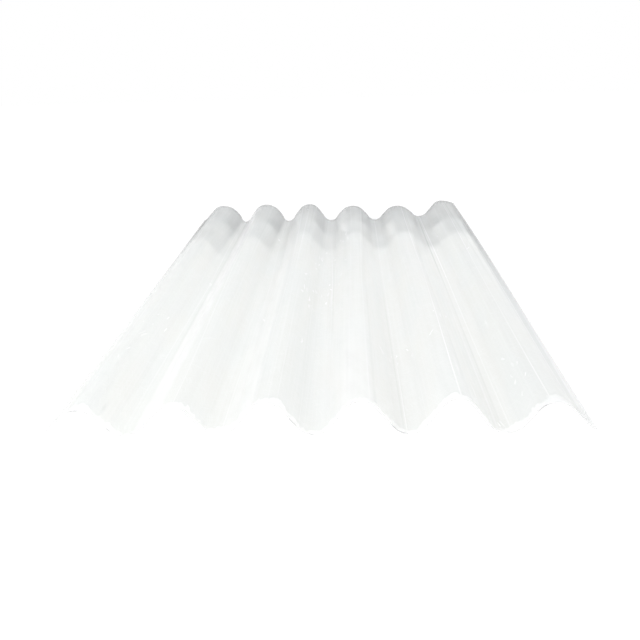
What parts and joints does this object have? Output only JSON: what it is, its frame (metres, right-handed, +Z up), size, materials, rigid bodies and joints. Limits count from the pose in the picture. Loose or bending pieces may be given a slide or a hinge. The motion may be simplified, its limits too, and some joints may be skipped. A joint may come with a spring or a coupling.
{
  "type": "corrugated fibreglass roofing sheet",
  "caption": "Flat-lying sheet of translucent glass-reinforced polyester with deep round corrugations along its length, for rooflights and light cladding.",
  "frame": {"origin": "middle of the plane that the sheet lies on, under the centre of the sheet", "axes": "+Y along the corrugations, +X across them, +Z up, out of the weather face"},
  "size_m": [0.854, 1.525, 0.0555],
  "materials": {
    "fibreglass": "gloss"
  },
  "bodies": {
    "root": {"corrugated_sheet": "fibreglass"}
  },
  "joints": []
}
